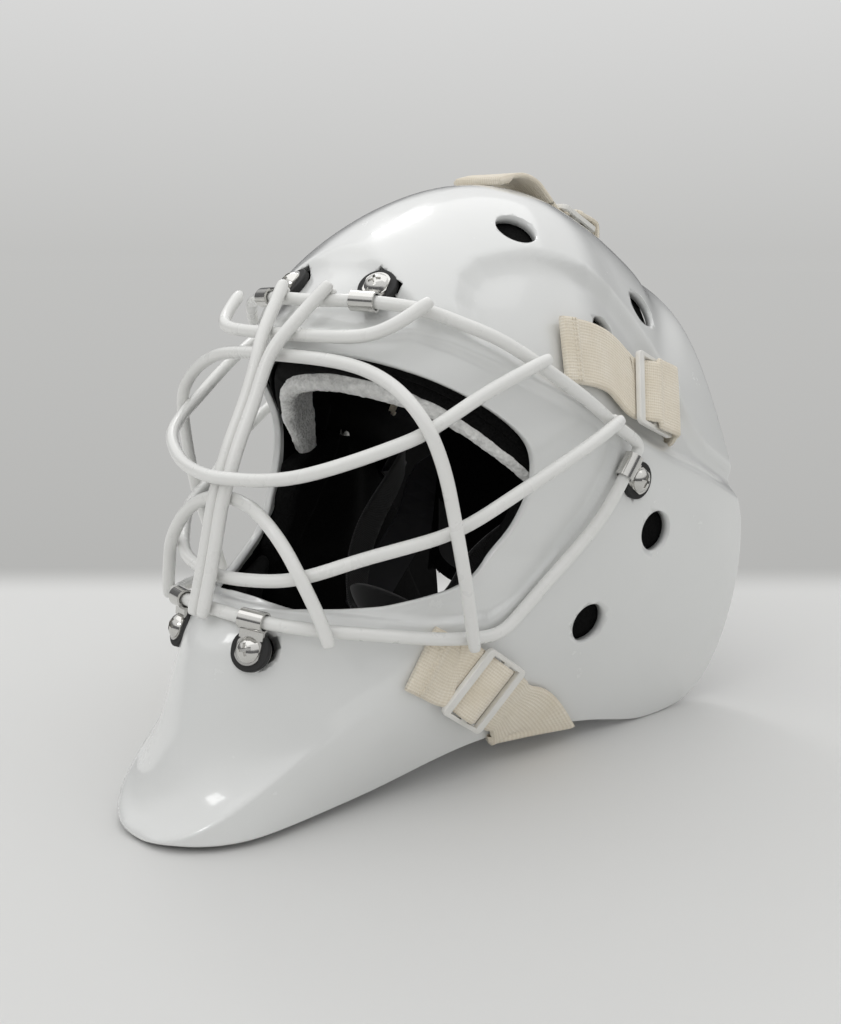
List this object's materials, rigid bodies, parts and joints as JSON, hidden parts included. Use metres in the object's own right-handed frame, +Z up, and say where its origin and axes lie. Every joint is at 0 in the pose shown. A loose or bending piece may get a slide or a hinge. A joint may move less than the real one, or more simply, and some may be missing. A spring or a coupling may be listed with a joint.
{
  "type": "hockey goalie mask",
  "caption": "Moulded goalie mask with a welded wire cage on rolled clips, a foam and terry liner, a chin sling, and a backplate on elastic straps.",
  "frame": {"origin": "on the table under the middle of the mask's bounding box", "axes": "+Z up from the table, the mask faces -Y, +X towards the wearer's left"},
  "size_m": [0.232, 0.328, 0.2895],
  "materials": {
    "shell_white": "gloss",
    "wire_coat": "satin powder coat",
    "stainless": "polished",
    "black_rubber": "matte",
    "black_foam": "matte foam",
    "terry": "looped terry",
    "elastic": "knitted elastic",
    "nylon": "translucent nylon",
    "sling": "woven webbing",
    "plate_dark": "matte"
  },
  "bodies": {
    "mask": {"shell": "shell_white", "perimeter_wire": "wire_coat", "forehead_wire": "wire_coat", "centre_bar_left": "wire_coat", "centre_bar_right": "wire_coat", "eye_arch_wire": "wire_coat", "upper_cross_wire": "wire_coat", "lower_cross_wire": "wire_coat", "mouth_arch_wire": "wire_coat", "forehead_clips": "stainless", "chin_clips": "stainless", "side_clips": "stainless", "clip_washers": "black_rubber", "clip_screws": "stainless", "clip_nuts": "stainless", "forehead_pad": "black_foam", "crown_pad": "black_foam", "side_pad_left": "black_foam", "side_pad_right": "black_foam", "jaw_pad_left": "black_foam", "jaw_pad_right": "black_foam", "sweatband": "terry", "chin_cup": "sling", "chin_strap_left": "sling", "chin_strap_right": "sling", "chin_snaps": "stainless", "top_strap": "elastic", "upper_strap_left": "elastic", "upper_strap_right": "elastic", "lower_strap_left": "elastic", "lower_strap_right": "elastic"},
    "backplate": {"backplate": "plate_dark", "backplate_pad": "black_foam", "backplate_rivets": "stainless", "top_strap_inner": "sling", "upper_strap_inner_left": "sling", "upper_strap_inner_right": "sling", "lower_strap_inner_left": "sling", "lower_strap_inner_right": "sling"},
    "top_slide_body": {"top_slide": "nylon"},
    "upper_slide_left_body": {"upper_slide_left": "nylon"},
    "upper_slide_right_body": {"upper_slide_right": "nylon"},
    "lower_slide_left_body": {"lower_slide_left": "nylon"},
    "lower_slide_right_body": {"lower_slide_right": "nylon"}
  },
  "joints": [
    {"name": "backplate_pull", "type": "slide", "parent": "mask", "child": "backplate", "axis": [0, 1, 0], "range_m": [0, 0.02], "stiffness_N_per_m": 300, "deforming": ["top_strap_inner", "upper_strap_inner_left", "upper_strap_inner_right", "lower_strap_inner_left", "lower_strap_inner_right"]},
    {"name": "top_slide_travel", "type": "slide", "parent": "mask", "child": "top_slide_body", "axis": [0, 0.9248, -0.3805], "range_m": [-0.008, 0.002], "deforming": ["top_strap"]},
    {"name": "upper_slide_left_travel", "type": "slide", "parent": "mask", "child": "upper_slide_left_body", "axis": [-0.0055, 0.9324, -0.3615], "range_m": [-0.015, 0.002], "deforming": ["upper_strap_left"]},
    {"name": "upper_slide_right_travel", "type": "slide", "parent": "mask", "child": "upper_slide_right_body", "axis": [0.0055, 0.9324, -0.3615], "range_m": [-0.015, 0.002], "deforming": ["upper_strap_right"]},
    {"name": "lower_slide_left_travel", "type": "slide", "parent": "mask", "child": "lower_slide_left_body", "axis": [-0.0147, 0.8141, -0.5805], "range_m": [-0.004, 0.006], "deforming": ["lower_strap_left"]},
    {"name": "lower_slide_right_travel", "type": "slide", "parent": "mask", "child": "lower_slide_right_body", "axis": [0.0147, 0.8141, -0.5805], "range_m": [-0.004, 0.006], "deforming": ["lower_strap_right"]}
  ]
}
